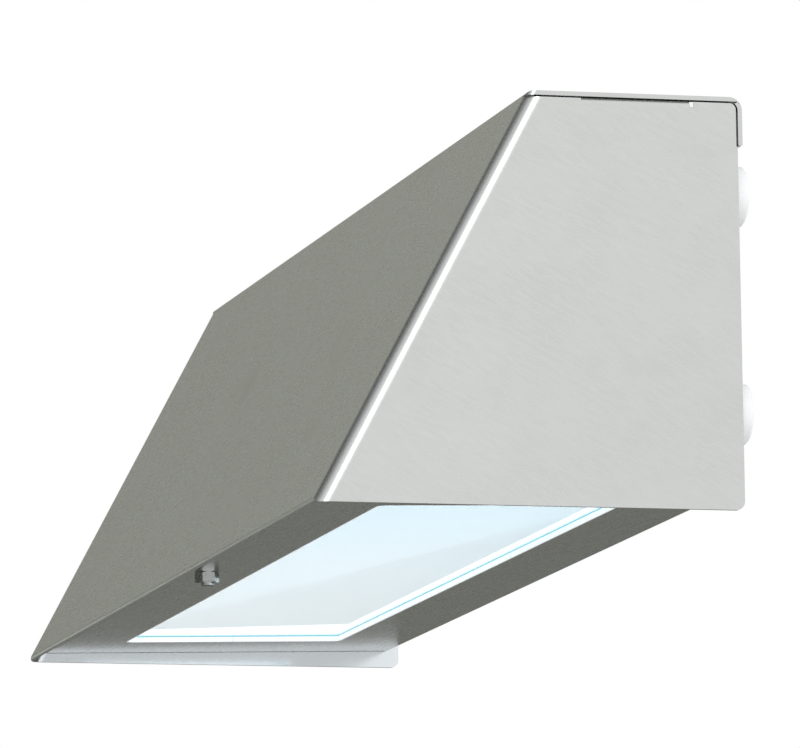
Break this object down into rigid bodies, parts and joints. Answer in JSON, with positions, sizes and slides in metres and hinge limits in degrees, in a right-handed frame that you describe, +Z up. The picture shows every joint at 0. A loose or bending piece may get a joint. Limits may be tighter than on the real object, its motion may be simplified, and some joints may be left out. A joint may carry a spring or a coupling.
{
  "type": "outdoor wall light",
  "caption": "Wedge-shaped folded stainless wall light hood with a long glass window underneath, on a wall plate with tube lamps and control gear.",
  "frame": {"origin": "centre of the wall-fixing holes, on the wall's face", "axes": "+X along the hood, +Y into the wall, +Z up"},
  "size_m": [0.611, 0.2016, 0.187],
  "materials": {
    "satin_stainless": "satin, fine directional grain",
    "zinc_steel": "zinc-plated steel, dull",
    "white_enamel": "white gloss enamel",
    "plated_fastener": "bright stainless fastener",
    "float_glass": "clear toughened glass with a green edge",
    "opal_sheet": "opal sheet",
    "white_nylon": "white nylon",
    "white_tape": "white glazing tape",
    "black_rubber": "black rubber",
    "white_plastic": "white moulded plastic",
    "lamp_glass": "white phosphor-coated lamp glass",
    "lamp_cap": "spun aluminium",
    "brass": "turned brass",
    "grey_case": "grey control-gear case",
    "wire_blue": "blue and brown insulation",
    "wire_earth": "green and yellow insulation",
    "wire_white": "white insulation"
  },
  "bodies": {
    "wall_frame": {"wall_plate": "zinc_steel", "wall_spacers": "white_nylon", "cable_grommet": "black_rubber", "earth_stud": "plated_fastener", "earth_tag": "plated_fastener", "earth_nut": "brass", "gear_tray": "white_enamel", "tray_brackets": "zinc_steel", "bracket_screws": "plated_fastener", "bracket_nuts": "plated_fastener", "tray_screws": "plated_fastener", "tray_nuts": "plated_fastener", "ballast_case": "grey_case", "ballast_terminals": "white_plastic", "ballast_screws": "plated_fastener", "terminal_strip": "white_plastic", "terminal_screws": "brass", "terminal_strip_screws": "plated_fastener", "cable_clamp_base": "white_plastic", "cable_clamp_bar": "white_plastic", "cable_clamp_screws": "plated_fastener", "lampholders": "white_plastic", "supply_wires": "wire_blue", "earth_wire": "wire_earth", "lamp_wires": "wire_white"},
    "hood": {"hood_shell": "satin_stainless", "relief_sealant": "white_tape", "window_gasket": "white_tape", "glass_pane": "float_glass", "diffuser_sheet": "opal_sheet", "glass_rear_channel": "satin_stainless", "glass_clamp_bar": "satin_stainless", "stud_sealing_washer": "black_rubber", "clamp_stud": "plated_fastener"},
    "nut": {"fixing_nut": "plated_fastener"},
    "lamp_front": {"lamp_front_tube": "lamp_glass", "lamp_front_caps": "lamp_cap", "lamp_front_pins": "brass", "lamp_front_rotors": "white_plastic"},
    "lamp_rear": {"lamp_rear_tube": "lamp_glass", "lamp_rear_caps": "lamp_cap", "lamp_rear_pins": "brass", "lamp_rear_rotors": "white_plastic"}
  },
  "joints": [
    {"name": "hood_lift", "type": "slide", "parent": "wall_frame", "child": "hood", "axis": [0, 0, 1], "range_m": [0, 0.024]},
    {"name": "fixing_nut_turn", "type": "hinge", "parent": "hood", "child": "nut", "pos_m": [0.0235, -0.18472, -0.08979], "axis": [0, -0.0221, 0.9998], "continuous": true},
    {"name": "lamp_front_twist", "type": "hinge", "parent": "wall_frame", "child": "lamp_front", "pos_m": [0, -0.1, 0.0025], "axis": [1, 0, 0], "range_deg": [0, 90]},
    {"name": "lamp_rear_twist", "type": "hinge", "parent": "wall_frame", "child": "lamp_rear", "pos_m": [0, -0.062, 0.0025], "axis": [1, 0, 0], "range_deg": [0, 90]}
  ]
}
